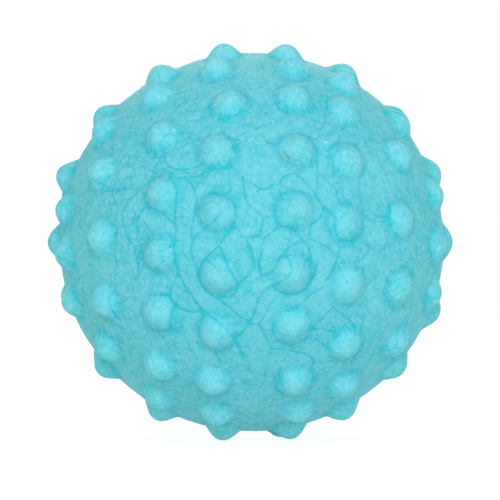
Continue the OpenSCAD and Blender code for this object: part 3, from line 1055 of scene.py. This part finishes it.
FOLD_WIDTHS = (3.3, 0.3, 0.7, 0.7, 1.3)
FOLD_PATCHES = (2.6, 0.3, 0.62, 0.5, 1.0)
FOLD_REACH = (0.9, 1.3, 1.0, 0.0)
FOLD_LINE = (0.04, 0.27, 1.0, 0.0)
FOLD_SHADE = (0.1, 0.85, 1.0, 0.0)
WIDE_LINE = (0.02, 0.28, 1.0, 0.0)
WIDE_LINE_PATCHES = (9.0, 0.38, 0.58)
FINE_DIP = (0.0, 0.5, 1.0, 0.0)
FINE_DIP_PATCHES = (8.0, 0.35, 0.6, 0.4, 1.0)
# The marks grow stronger away from the front-to-back axis: in the bump that is relief, in the colour it is
# painted shading of that relief, with a small paler shift
TOWARDS_SIDES = (12.0, 32.0, 1.0, 1.5)
SEAM_LINE = (0.08, 0.3, 1.0, 0.0)
SEAM_PATCHES = (5.0, 0.4, 0.6)
# Painted sheen: the colour turns chalkier towards the ball's top and bottom, between these heights
PAINTED_SHEEN_ENDS = (28.0, 42.0)
FRONT_TO_BACK = (0.0, 1.0, 0.0)
MOTTLE_WAVE = (3.0, 4.0, 0.6)
CRUMPLE_WAVE = (1.5, 1.0)
SPECKLE_WAVE = (0.5, 2.0, 0.6)

# How much chalky colour there is, how much each mark adds to it, and by how much each mark stands out. The
# negative chalk shares paint shade into the folds, the dips between pebbles, the crinkles and the creases
# round the nubs' feet.

CHALK_START = 0.53
CHALK_ON_NUBS = 0.19
CHALK_NUB_POWER = 1.5
CHALK_SHARES = {
    "mottle": 0.38, "crumple": 0.34, "speckle": 0.25, "fold": -0.46, "fold_shade": -0.10, "wide_line": -0.22,
    "fine_dip": -0.20, "crinkle": -0.07, "fine_crinkle": -0.04, "crease": -0.26, "seam": 0.12, "painted_sheen_ends": 0.18,
    "towards_sides": 0.10,
}
BUMP_SHARES = {
    "fold": -0.06, "wide_line": -0.03, "fine_dip": -0.055, "crinkle": -0.03, "fine_crinkle": -0.025,
    "speckle": 0.035, "crumple": 0.06, "mottle": 0.04, "seam": 0.015,
}
# Painted light on the nubs: their colour is scaled up to 1.06 on the sides, and a little less at the very top
NUB_PAINTED_LIGHT = (0.05, 0.28, 1.0, 1.06)
NUB_TOP_LESS_PAINTED_LIGHT = (0.75, 0.95, 0.0, 0.03)
RUBBER_ROUGHNESS = 0.62
SPECKLE_ROUGHNESS = 0.2

PINHOLE_COLOUR = (0.03, 0.07, 0.07, 1)
RUST_COLOUR = (0.30, 0.22, 0.16, 1)
# Colour of the painted glints
GLINT_COLOUR = (0.85, 0.88, 0.84, 1)
SPECK_FADE = (0.05, 0.19, 0.95, 0.0)
RUST_TONES = (0.1, 0.4)
GLINT_TONES = (0.6, 0.9)
SCUFF_COLOUR = (0.11, 0.28, 0.25, 1)
SCUFF_FADE = (0.6, 2.2, 1.0, 0.0)
SCUFF_STREAKS = (0.48, 0.66)
SCUFF_STRENGTH = 0.65
STREAKS_ROUND_NUB = 4.0
STREAKS_ALONG = 0.5


def fold_marks(desk, place):
    """The fold lines and the soft shade beside them, of uneven width and force. In the colour both are painted
    shade.
    """
    width = desk.patches(place, *FOLD_WIDTHS)
    to_fold = desk.math("DIVIDE", desk.vector("LENGTH", kept_value(desk, "to_fold", "Vector")), width)
    near_fold = desk.fade(kept_value(desk, "fold_gap"), *FOLD_REACH)
    shown = desk.math("MULTIPLY", near_fold, desk.patches(place, *FOLD_PATCHES))
    strength = desk.math("MULTIPLY", kept_value(desk, "fold_force"), shown)
    return [desk.math("MULTIPLY", desk.fade(to_fold, *fade), strength) for fade in (FOLD_LINE, FOLD_SHADE)]


def rubber_texture(desk, look, place):
    """All that breaks up the rubber's colour and surface, by name."""
    fold, fold_shade = fold_marks(desk, place)
    wide_line = desk.fade(wide_pebbles(desk, place, look.pebble_size / MM), *WIDE_LINE)
    fine_dip = desk.fade(fine_pebbles(desk, place), *FINE_DIP)
    fine_patches = desk.patches(desk.vector("ADD", place, FINE_SHIFT), *FINE_DIP_PATCHES)
    from_middle = desk.vector("LENGTH", desk.vector("CROSS_PRODUCT", place, FRONT_TO_BACK))
    # Stronger away from the front-to-back axis; in the colour this paints the shading that the relief shows
    # there
    towards_sides = desk.fade(from_middle, *TOWARDS_SIDES)
    seam = desk.fade(desk.math("ABSOLUTE", desk.part(place, "X")), *SEAM_LINE)
    return {
        "fold": fold,
        "fold_shade": fold_shade,
        "wide_line": desk.math("MULTIPLY", wide_line, desk.patches(place, *WIDE_LINE_PATCHES)),
        "fine_dip": desk.math("MULTIPLY", fine_dip, desk.math("MULTIPLY", fine_patches, towards_sides)),
        "crinkle": crinkles(desk, place, CRINKLE_SIZE),
        "fine_crinkle": crinkles(desk, place, FINE_CRINKLE_SIZE),
        "crease": nub_crease(desk, place, kept_value(desk, "nub_aside")),
        "mottle": desk.wave(place, *MOTTLE_WAVE),
        "crumple": desk.math("MULTIPLY", desk.wave(place, *CRUMPLE_WAVE), towards_sides),
        "speckle": desk.math("MULTIPLY", desk.wave(place, *SPECKLE_WAVE), towards_sides),
        "seam": desk.math("MULTIPLY", seam, desk.patches(place, *SEAM_PATCHES)),
        # Painted sheen towards the ball's top and bottom
        "painted_sheen_ends": desk.fade(desk.math("ABSOLUTE", desk.part(place, "Z")), *PAINTED_SHEEN_ENDS),
        "towards_sides": towards_sides,
    }


def rubber_colour(desk, look, texture):
    """Chalky on nubs, deep in folds and dips as painted shade, with painted light on the nubs' sides and
    painted sheen towards the ball's top and bottom.
    """
    nub = kept_value(desk, "nub_share")
    chalk = desk.math("MULTIPLY_ADD", desk.math("POWER", nub, CHALK_NUB_POWER), CHALK_ON_NUBS, CHALK_START)
    # The negative shares paint shade into the folds, dips, crinkles and the creases round the nubs' feet
    chalk = desk.total(texture, CHALK_SHARES, chalk)
    chalk = desk.math("MINIMUM", desk.math("MAXIMUM", chalk, 0.0), 1.0)
    colour = mixed(desk, chalk, tuple(look.deep_colour), tuple(look.chalky_colour))
    # Painted light: the colour is made lighter on the nubs, most on their sides
    painted_nub_light = desk.math("SUBTRACT", desk.fade(nub, *NUB_PAINTED_LIGHT), desk.fade(nub, *NUB_TOP_LESS_PAINTED_LIGHT))
    return desk.scaled(colour, painted_nub_light)


def scuffed(desk, colour, place, scuff_places):
    """The colour with the grey, streaky scuff of one nub, which lies round two places."""
    gaps = [desk.vector("DISTANCE", place, tuple(spot / MM)) for spot in scuff_places]
    rubbing = desk.add("ShaderNodeCombineXYZ", {
        "X": desk.math("MULTIPLY", kept_value(desk, "nub_aside"), STREAKS_ROUND_NUB),
        "Y": desk.math("MULTIPLY", desk.part(place, "X"), STREAKS_ALONG),
        "Z": desk.math("MULTIPLY", desk.part(place, "Z"), STREAKS_ALONG)}).outputs[0]
    streaks = desk.math("MULTIPLY", desk.patches(rubbing, 1.0, *SCUFF_STREAKS), SCUFF_STRENGTH)
    shown = desk.math("MULTIPLY", desk.fade(desk.math("MINIMUM", *gaps), *SCUFF_FADE), streaks)
    return mixed(desk, shown, colour, SCUFF_COLOUR)


def specked(desk, colour):
    """The colour with pinholes and rust spots, and with painted glints: small pale dots in place of tiny
    highlights.
    """
    speck = desk.fade(desk.vector("LENGTH", kept_value(desk, "to_mark", "Vector")), *SPECK_FADE)
    tone = kept_value(desk, "mark_tone")
    darker = mixed(desk, desk.fade(tone, *RUST_TONES), PINHOLE_COLOUR, RUST_COLOUR)
    return mixed(desk, speck, colour, mixed(desk, desk.fade(tone, *GLINT_TONES), darker, GLINT_COLOUR))


def rubber(look, scuff_places):
    """Matt turquoise rubber: chalky on the nubs, deeper in folds and dips as painted shade, with pinholes,
    painted glints and a scuff.
    """
    material, desk = new_material("turquoise rubber")
    place = kept_value(desk, "skin_place", "Vector")
    texture = rubber_texture(desk, look, place)
    colour = rubber_colour(desk, look, texture)
    colour = specked(desk, scuffed(desk, colour, place, scuff_places))
    height = desk.total(texture, BUMP_SHARES)
    bump = desk.add("ShaderNodeBump", {"Strength": 1.0, "Distance": MM, "Height": height})
    shader = desk.add("ShaderNodeBsdfPrincipled", {
        "Base Color": colour,
        "Roughness": desk.math("MULTIPLY_ADD", texture["speckle"], SPECKLE_ROUGHNESS, RUBBER_ROUGHNESS),
        "Specular IOR Level": 0.25,
        "Sheen Weight": 0.025,
        "Sheen Roughness": 0.5,
        "Sheen Tint": (1.0, 0.92, 0.80, 1),
        "Normal": bump.outputs["Normal"],
    })
    desk.add("ShaderNodeOutputMaterial", {"Surface": shader.outputs["BSDF"]})
    return material


GRAIN_INPUTS = (
    ("Colour", "NodeSocketColor"), ("Shade", "NodeSocketColor"), ("Place", "NodeSocketVector"),
    ("Grain Size", "NodeSocketFloat"), ("Grain Depth", "NodeSocketFloat"), ("Roughness", "NodeSocketFloat"),
)
GRAIN_OUTPUTS = (
    ("Colour", "NodeSocketColor"), ("Roughness", "NodeSocketFloat"), ("Normal", "NodeSocketVector"),
)
CLOUD_NOISE = (2.4, 3.0)
CLOUD_SHADE = (0.35, 0.7, 0.0, 0.5)
GRAIN_NOISE = (1.0, 3.0, 0.6)
RUB_STRETCH = (0.7, 5.0, 1.6)
RUB_FADE = (0.6, 0.72)
RUB_SHADE = 0.35
RUB_DEPTH = 0.4
GRAIN_ROUGHNESS = 0.25

WHITE_GRAIN = {"shade": (0.68, 0.66, 0.60, 1), "grain_size": 0.35, "grain_depth": 0.012, "roughness": 0.42}
GREY_GRAIN = {"shade": (0.50, 0.53, 0.55, 1), "grain_size": 0.3, "grain_depth": 0.010, "roughness": 0.46}
REED_GRAIN = {"shade": (0.66, 0.43, 0.08, 1), "grain_size": 0.2, "grain_depth": 0.004, "roughness": 0.3}
CEMENT_GRAIN = {"shade": (0.33, 0.26, 0.16, 1), "grain_size": 0.8, "grain_depth": 0.05, "roughness": 0.55}


def grain_group():
    """Moulded plastic: cloudy colour, fine grain and a few rubbed lines. Sizes are in millimetres."""
    tree = bpy.data.node_groups.new("moulded plastic", "ShaderNodeTree")
    for in_out, sockets in (("INPUT", GRAIN_INPUTS), ("OUTPUT", GRAIN_OUTPUTS)):
        for name, kind in sockets:
            tree.interface.new_socket(name, in_out=in_out, socket_type=kind)
    desk = NodeDesk(tree)
    given = desk.add("NodeGroupInput").outputs
    cloud = desk.noise(given["Place"], *CLOUD_NOISE)
    grain_place = desk.scaled(given["Place"], desk.math("DIVIDE", 1.0, given["Grain Size"]))
    grain = desk.noise(grain_place, *GRAIN_NOISE)
    rubbed = desk.patches(desk.vector("MULTIPLY", given["Place"], RUB_STRETCH), 1.0, *RUB_FADE)
    shade = desk.math("MULTIPLY_ADD", rubbed, RUB_SHADE, desk.fade(cloud, *CLOUD_SHADE))
    colour = mixed(desk, shade, given["Colour"], given["Shade"])
    rough = desk.math("MULTIPLY_ADD", desk.math("SUBTRACT", grain, 0.5), GRAIN_ROUGHNESS, given["Roughness"])
    height = desk.math("MULTIPLY", desk.math("MULTIPLY_ADD", rubbed, -RUB_DEPTH, grain), given["Grain Depth"])
    bump = desk.add("ShaderNodeBump", {"Strength": 1.0, "Distance": MM, "Height": height})
    desk.add("NodeGroupOutput", {"Colour": colour, "Roughness": rough, "Normal": bump.outputs["Normal"]})
    return tree


def plastic(name, group, colour, shade, grain_size, grain_depth, roughness):
    """One plastic of the squeaker, from the shared grain."""
    material, desk = new_material(name)
    where = desk.add("ShaderNodeTexCoord").outputs["Object"]
    grain = desk.add("ShaderNodeGroup", {
        "Colour": tuple(colour), "Shade": shade, "Place": desk.scaled(where, 1 / MM),
        "Grain Size": grain_size, "Grain Depth": grain_depth, "Roughness": roughness,
    }, node_tree=group).outputs
    shader = desk.add("ShaderNodeBsdfPrincipled", {
        "Base Color": grain["Colour"],
        "Roughness": grain["Roughness"],
        "Normal": grain["Normal"],
        "Subsurface Weight": 0.1,
        "Subsurface Scale": 0.6 * MM,
    })
    desk.add("ShaderNodeOutputMaterial", {"Surface": shader.outputs["BSDF"]})
    return material


def shared_grain():
    """The grain group, built once."""
    return bpy.data.node_groups.get("moulded plastic") or grain_group()


def dress(node, material):
    """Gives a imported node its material."""
    for part_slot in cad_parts[node].material_slots:
        part_slot.material = material


class SENSORYBALL_OT_skin_halves(bpy.types.Operator):
    """Make the two nubbed rubber halves"""

    bl_idname = "sensory_ball.skin_halves"
    bl_label = "Rubber Halves"

    def execute(self, context):
        look, insert = context.scene.ball_skin, context.scene.ball_insert
        axis = squeaker_axis(insert)
        view = PhotoView(context.scene.ball_studio)
        tree = packed_tree()
        scuff_places = onto_skin(view, tree, SCUFF_SPOTS, look.radius)
        helpers = {
            "Nub Tips": point_object("nub tips", nub_tips(view)),
            "Fold Lines": fold_lines(view, tree, look, axis),
            "Rubber Marks": specks_and_glints(view, tree, look, axis),
        }
        values = {
            "Skin Radius": look.radius, "Nub Width": look.nub_width,
            "Nub Unevenness": NUB_UNEVENNESS, "Fold Depth": look.fold_depth, "Fold Width": look.fold_width,
            "Pebble Depth": look.pebble_depth, "Squeaker Axis": tuple(axis), "Seed": look.seed,
            "Material": rubber(look, scuff_places), **helpers,
        }
        relief = skin_tree(look)
        for side, (name, node) in zip((-1, 1), HALF_NODES.items()):
            half = plain_half(name, look, side)
            if side > 0:
                half = with_squeaker_seat(half, axis)
            half = moulded(half, relief, values)
            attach(half, "ball")
            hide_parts(node)
        for helper in helpers.values():
            bpy.data.objects.remove(helper)
        return {"FINISHED"}


class SENSORYBALL_OT_squeaker_finish(bpy.types.Operator):
    """Give the squeaker's moulded pieces their plastics"""

    bl_idname = "sensory_ball.squeaker_finish"
    bl_label = "Squeaker Finish"

    def execute(self, context):
        insert = context.scene.ball_insert
        group = shared_grain()
        white = plastic("white plastic", group, insert.white_colour, **WHITE_GRAIN)
        grey = plastic("grey plastic", group, insert.grey_colour, **GREY_GRAIN)
        for node in ("squeaker_housing", "squeaker_reed_block"):
            dress(node, white)
        for node in ("squeaker_tone_sleeve", "squeaker_inner_cap"):
            dress(node, grey)
        return {"FINISHED"}


class SENSORYBALL_OT_reed_finish(bpy.types.Operator):
    """Give the reed its film"""

    bl_idname = "sensory_ball.reed_finish"
    bl_label = "Reed Finish"

    def execute(self, context):
        insert = context.scene.ball_insert
        film = plastic("reed film", shared_grain(), insert.reed_colour, **REED_GRAIN)
        dress("squeaker_reed", film)
        return {"FINISHED"}


class SENSORYBALL_OT_cement_finish(bpy.types.Operator):
    """Give the seam cement its cured, lumpy finish"""

    bl_idname = "sensory_ball.cement_finish"
    bl_label = "Cement Finish"

    def execute(self, context):
        insert = context.scene.ball_insert
        cured = plastic("rubber cement", shared_grain(), insert.cement_colour, **CEMENT_GRAIN)
        dress("seam_cement", cured)
        return {"FINISHED"}


FLOOR_SIDES = 96
FLOOR_COLOURS = ((0.86, 0.86, 0.86, 1), (0.90, 0.90, 0.90, 1))
FLOOR_PATCH_SIZE = 0.02
FLOOR_ROUGHNESS = 0.9
FLOOR_SHOWN = 0.82
FLOOR_GLOW = 0.22
FLOOR_WHITE = 1.1
FLOOR_TINT = (1.0, 0.92, 0.76, 1)
ROOM_TINT = (1.0, 0.985, 0.90, 1)
WHITE = (1, 1, 1, 1)
NEAREST_SHOWN = 0.05
FARTHEST_SHOWN = 20


def seen_directly(desk):
    """1 for a ray from the camera, or one off or through something shiny, and 0 for light that spreads."""
    ray = desk.add("ShaderNodeLightPath").outputs
    return desk.math("MAXIMUM", ray["Is Camera Ray"], desk.math(
        "MAXIMUM", ray["Is Glossy Ray"], ray["Is Transmission Ray"]))


def floor_material():
    """Pale floor that reads as white to the camera and keeps the ball's shadow."""
    material, desk = new_material("pale floor")
    where = desk.add("ShaderNodeTexCoord").outputs["Object"]
    colour = mixed(desk, desk.noise(where, FLOOR_PATCH_SIZE, 3.0), *FLOOR_COLOURS)
    matt = desk.add("ShaderNodeBsdfPrincipled", {"Base Color": colour, "Roughness": FLOOR_ROUGHNESS})
    seen = seen_directly(desk)
    white = desk.add("ShaderNodeEmission", {
        "Color": mixed(desk, seen, FLOOR_TINT, WHITE), "Strength": FLOOR_WHITE})
    shown = desk.math("MULTIPLY_ADD", seen, FLOOR_SHOWN - FLOOR_GLOW, FLOOR_GLOW)
    both = desk.add("ShaderNodeMixShader", {
        0: shown, 1: matt.outputs["BSDF"], 2: white.outputs["Emission"]})
    desk.add("ShaderNodeOutputMaterial", {"Surface": both.outputs["Shader"]})
    return material


def room(strength):
    """White room: strength 1 where the camera or a gloss sees it, and the even light's own elsewhere."""
    world = bpy.data.worlds.new("white room")
    world.use_nodes = True
    world.node_tree.nodes.clear()
    desk = NodeDesk(world.node_tree)
    seen = seen_directly(desk)
    level = desk.add("ShaderNodeMapRange", {"Value": seen, "To Min": strength, "To Max": 1.0})
    glow = desk.add("ShaderNodeBackground", {
        "Color": mixed(desk, seen, ROOM_TINT, WHITE), "Strength": level.outputs["Result"]})
    desk.add("ShaderNodeOutputWorld", {"Surface": glow.outputs["Background"]})
    return world


KEY_PLACE = Vector((-0.15, -1.85, 0.8))
FILL_PLACE = Vector((1.0, -1.9, 0.2))
RIM_PLACE = Vector((-0.1, 1.7, 0.9))
BACK_PLACE = Vector((0.2, 2.0, 0.1))
COOL_TINT = (0.84, 0.96, 1.0)
LAMP_SIZE = 1.0


def soft_lamp(name, place, power, tint=(1, 1, 1)):
    """A round lamp that faces the ball."""
    light = bpy.data.lights.new(name, "AREA")
    light.color = tint
    light.shape = "DISK"
    light.size = LAMP_SIZE
    light.energy = power
    lamp = bpy.data.objects.new(name, light)
    lamp.matrix_world = Matrix.Translation(place) @ (-place).to_track_quat("-Z", "Y").to_matrix().to_4x4()
    bpy.context.scene.collection.objects.link(lamp)


def photo_camera(view, studio):
    """The camera of the photograph."""
    lens = bpy.data.cameras.new("photo camera")
    lens.sensor_width = view.SENSOR
    lens.lens = studio.lens
    lens.clip_start = NEAREST_SHOWN
    lens.clip_end = FARTHEST_SHOWN
    camera = bpy.data.objects.new("photo camera", lens)
    camera.matrix_world = view.matrix()
    bpy.context.scene.collection.objects.link(camera)
    return camera


def round_floor(radius):
    """The floor under the ball's lowest nubs."""
    work = bmesh.new()
    bmesh.ops.create_circle(
        work, cap_ends=True, segments=FLOOR_SIDES, radius=radius,
        matrix=Matrix.Translation((0, 0, CAD_BOX[0].z)))
    mesh = bpy.data.meshes.new("floor")
    work.to_mesh(mesh)
    work.free()
    mesh.materials.append(floor_material())
    floor = bpy.data.objects.new("floor", mesh)
    bpy.context.scene.collection.objects.link(floor)
    return floor


class SENSORYBALL_OT_studio(bpy.types.Operator):
    """Make the camera, the lamps, the room and the floor"""

    bl_idname = "sensory_ball.studio"
    bl_label = "Studio"

    def execute(self, context):
        studio = context.scene.ball_studio
        context.scene.camera = photo_camera(PhotoView(studio), studio)
        soft_lamp("key lamp", KEY_PLACE, studio.key_power)
        soft_lamp("fill lamp", FILL_PLACE, studio.fill_power, COOL_TINT)
        soft_lamp("rim lamp", RIM_PLACE, studio.rim_power)
        soft_lamp("back lamp", BACK_PLACE, studio.back_power)
        context.scene.world = room(studio.room_light)
        floor = round_floor(studio.floor_radius)
        context.scene.view_settings.view_transform = "Standard"
        return {"FINISHED"}


class VIEW3D_PT_sensory_ball(bpy.types.Panel):
    """Lists the steps and the settings of the sensory ball"""

    bl_label = "Sensory Ball"
    bl_space_type = "VIEW_3D"
    bl_region_type = "UI"
    bl_category = "Sensory Ball"

    def draw(self, context):
        layout = self.layout
        for operator in OPERATORS:
            layout.operator(operator.bl_idname)
        for holder, settings in SETTINGS.items():
            box = layout.box()
            group = getattr(context.scene, holder)
            for name in settings.__annotations__:
                box.prop(group, name)


SETTINGS = {"ball_skin": SkinSettings, "ball_insert": InsertSettings, "ball_studio": StudioSettings}
OPERATORS = (
    SENSORYBALL_OT_studio,
    SENSORYBALL_OT_skin_halves,
    SENSORYBALL_OT_squeaker_finish,
    SENSORYBALL_OT_reed_finish,
    SENSORYBALL_OT_cement_finish,
)


def register():
    for settings in SETTINGS.values():
        bpy.utils.register_class(settings)
    for holder, settings in SETTINGS.items():
        setattr(bpy.types.Scene, holder, bpy.props.PointerProperty(type=settings))
    for operator in OPERATORS:
        bpy.utils.register_class(operator)
    bpy.utils.register_class(VIEW3D_PT_sensory_ball)


def unregister():
    bpy.utils.unregister_class(VIEW3D_PT_sensory_ball)
    for operator in reversed(OPERATORS):
        bpy.utils.unregister_class(operator)
    for holder in SETTINGS:
        delattr(bpy.types.Scene, holder)
    for settings in reversed(SETTINGS.values()):
        bpy.utils.unregister_class(settings)


def main():
    register()
    for operator in OPERATORS:
        family, step = operator.bl_idname.split(".")
        getattr(getattr(bpy.ops, family), step)()


if __name__ == "__main__":
    main()
